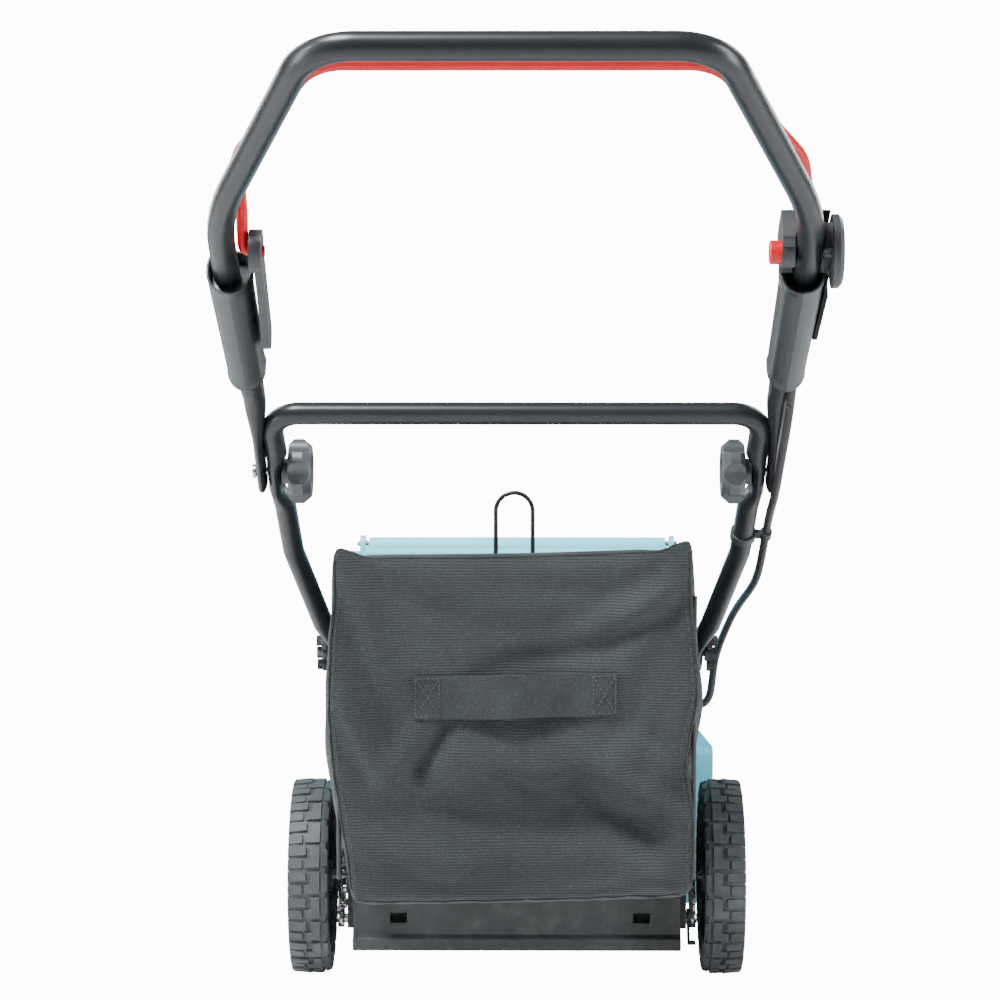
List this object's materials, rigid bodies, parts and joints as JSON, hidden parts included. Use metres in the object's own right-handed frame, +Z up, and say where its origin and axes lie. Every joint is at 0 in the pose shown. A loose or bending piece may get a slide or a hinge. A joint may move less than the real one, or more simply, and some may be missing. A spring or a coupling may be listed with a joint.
{
  "type": "reel mower",
  "caption": "Walk-behind electric reel mower with a rear mesh grass bag, a folding two-part tube handle, red bail lever and a belt-driven helical cutting reel",
  "frame": {"origin": "centre of the bounding box in X and Y, on the ground under the wheels", "axes": "+Y is the travel direction, +X is to the operator's right, +Z is up"},
  "size_m": [0.5838, 1.2698, 0.9871],
  "materials": {
    "deck_black": "rough",
    "hood_teal": "satin",
    "cover_teal": "satin",
    "grip_grey": "satin",
    "switch_grey": "satin",
    "bail_red": "gloss",
    "handle_paint": "satin",
    "steel_bright": "satin",
    "steel_dark": "satin",
    "wheel_rubber": "matte",
    "wheel_hub": "satin",
    "blade_steel": "satin",
    "belt_rubber": "matte",
    "bag_mesh": "matte",
    "webbing": "matte",
    "cable_black": "satin",
    "motor_metal": "satin"
  },
  "bodies": {
    "chassis": {"deck_housing": "deck_black", "hood": "hood_teal", "belt_cover": "cover_teal", "rear_panel": "deck_black", "chute_floor": "deck_black", "chute_deflector": "deck_black", "bedknife_bar": "steel_dark", "bedknife": "blade_steel", "motor_body": "motor_metal", "drive_belt": "belt_rubber", "reel_bearings": "steel_bright", "front_axle": "steel_bright", "handle_brackets": "steel_dark", "flap_hinge_rod": "steel_bright", "cable_gland": "switch_grey", "axle_spring": "steel_bright", "housing_screws": "steel_bright"},
    "reel": {"reel_shaft": "steel_bright", "reel_spiders": "steel_dark", "reel_blades": "blade_steel", "reel_pulley": "motor_metal"},
    "motor_rotor": {"motor_shaft": "steel_bright", "motor_pulley": "motor_metal"},
    "rear_axle": {"axle_rod": "steel_bright", "height_lever": "steel_dark"},
    "rear_wheel_left": {"rear_tyre_left": "wheel_rubber", "rear_rim_left": "wheel_hub"},
    "rear_wheel_right": {"rear_tyre_right": "wheel_rubber", "rear_rim_right": "wheel_hub"},
    "front_wheel_left": {"front_tyre_left": "wheel_rubber", "front_rim_left": "wheel_hub"},
    "front_wheel_right": {"front_tyre_right": "wheel_rubber", "front_rim_right": "wheel_hub"},
    "flap": {"flap_panel": "hood_teal"},
    "bag": {"bag_fabric": "bag_mesh", "bag_frame": "steel_dark", "bag_loop": "steel_bright", "bag_strap": "webbing"},
    "lower_handle": {"lower_tube": "handle_paint", "cable_clip": "switch_grey", "cable_leg": "cable_black", "cable_base": "cable_black"},
    "wing_left": {"wing_knob_left": "switch_grey"},
    "wing_right": {"wing_knob_right": "switch_grey"},
    "upper_handle": {"upper_tube": "handle_paint", "sleeve_left_outer": "grip_grey", "sleeve_left_inner": "grip_grey", "sleeve_right_outer": "grip_grey", "sleeve_right_inner": "grip_grey", "bail_bracket": "switch_grey", "switch_box_outer": "switch_grey", "switch_box_inner": "switch_grey", "fold_bolts": "steel_bright", "cable_upper": "cable_black", "cable_fold": "cable_black"},
    "bail": {"bail_rod": "bail_red", "bail_hub": "switch_grey"},
    "lock_button_body": {"lock_button": "bail_red"},
    "fold_knob_left_body": {"fold_knob_left": "grip_grey"},
    "fold_knob_right_body": {"fold_knob_right": "grip_grey"}
  },
  "joints": [
    {"name": "rear_wheel_left_spin", "type": "hinge", "parent": "rear_axle", "child": "rear_wheel_left", "pos_m": [-0.23145, 0.17785, 0.1075], "axis": [1, 0, 0], "continuous": true},
    {"name": "rear_wheel_right_spin", "type": "hinge", "parent": "rear_axle", "child": "rear_wheel_right", "pos_m": [0.21955, 0.17785, 0.1075], "axis": [1, 0, 0], "continuous": true},
    {"name": "front_wheel_left_spin", "type": "hinge", "parent": "chassis", "child": "front_wheel_left", "pos_m": [-0.21195, 0.55985, 0.075], "axis": [1, 0, 0], "continuous": true},
    {"name": "front_wheel_right_spin", "type": "hinge", "parent": "chassis", "child": "front_wheel_right", "pos_m": [0.20005, 0.55985, 0.075], "axis": [1, 0, 0], "continuous": true},
    {"name": "height_adjust", "type": "hinge", "parent": "chassis", "child": "rear_axle", "pos_m": [-0.00595, 0.15285, 0.065], "axis": [-1, 0, 0], "range_deg": [0, 24]},
    {"name": "reel_spin", "type": "hinge", "parent": "chassis", "child": "reel", "pos_m": [-0.00595, 0.41785, 0.084], "axis": [1, 0, 0], "continuous": true},
    {"name": "motor_spin", "type": "hinge", "parent": "chassis", "child": "motor_rotor", "pos_m": [-0.00595, 0.44285, 0.198], "axis": [1, 0, 0], "continuous": true},
    {"name": "flap_hinge", "type": "hinge", "parent": "chassis", "child": "flap", "pos_m": [-0.00595, 0.19385, 0.476], "axis": [-1, 0, 0], "range_deg": [0, 70]},
    {"name": "bag_slide", "type": "slide", "parent": "chassis", "child": "bag", "axis": [0, -1, 0], "range_m": [0, 0.42]},
    {"name": "lower_handle_fold", "type": "hinge", "parent": "chassis", "child": "lower_handle", "pos_m": [-0.00595, 0.15785, 0.36], "axis": [-1, 0, 0], "range_deg": [0, 105], "deforming": ["cable_base"]},
    {"name": "upper_handle_fold", "type": "hinge", "parent": "lower_handle", "child": "upper_handle", "pos_m": [-0.00595, -0.08315, 0.58], "axis": [1, 0, 0], "range_deg": [-125, 0], "deforming": ["cable_fold"]},
    {"name": "bail_squeeze", "type": "hinge", "parent": "upper_handle", "child": "bail", "pos_m": [-0.00595, -0.34235, 0.8044], "axis": [1, 0, 0], "range_deg": [0, 7.5], "stiffness_Nm_per_rad": 5, "springref_deg": -22.92},
    {"name": "lock_button_press", "type": "slide", "parent": "upper_handle", "child": "lock_button_body", "axis": [1, 0, 0], "range_m": [0, 0.0035], "stiffness_N_per_m": 400, "springref_m": -0.004},
    {"name": "wing_left_turn", "type": "hinge", "parent": "lower_handle", "child": "wing_left", "pos_m": [-0.21595, 0.15785, 0.36], "axis": [1, 0, 0], "continuous": true},
    {"name": "wing_right_turn", "type": "hinge", "parent": "lower_handle", "child": "wing_right", "pos_m": [0.20405, 0.15785, 0.36], "axis": [1, 0, 0], "continuous": true},
    {"name": "fold_knob_left_turn", "type": "hinge", "parent": "lower_handle", "child": "fold_knob_left_body", "pos_m": [-0.22595, -0.08315, 0.58], "axis": [1, 0, 0], "continuous": true},
    {"name": "fold_knob_right_turn", "type": "hinge", "parent": "lower_handle", "child": "fold_knob_right_body", "pos_m": [0.21405, -0.08315, 0.58], "axis": [1, 0, 0], "continuous": true}
  ],
  "couplings": [
    {"joint": "motor_spin", "follows": "reel_spin", "ratio": 2.7143}
  ]
}
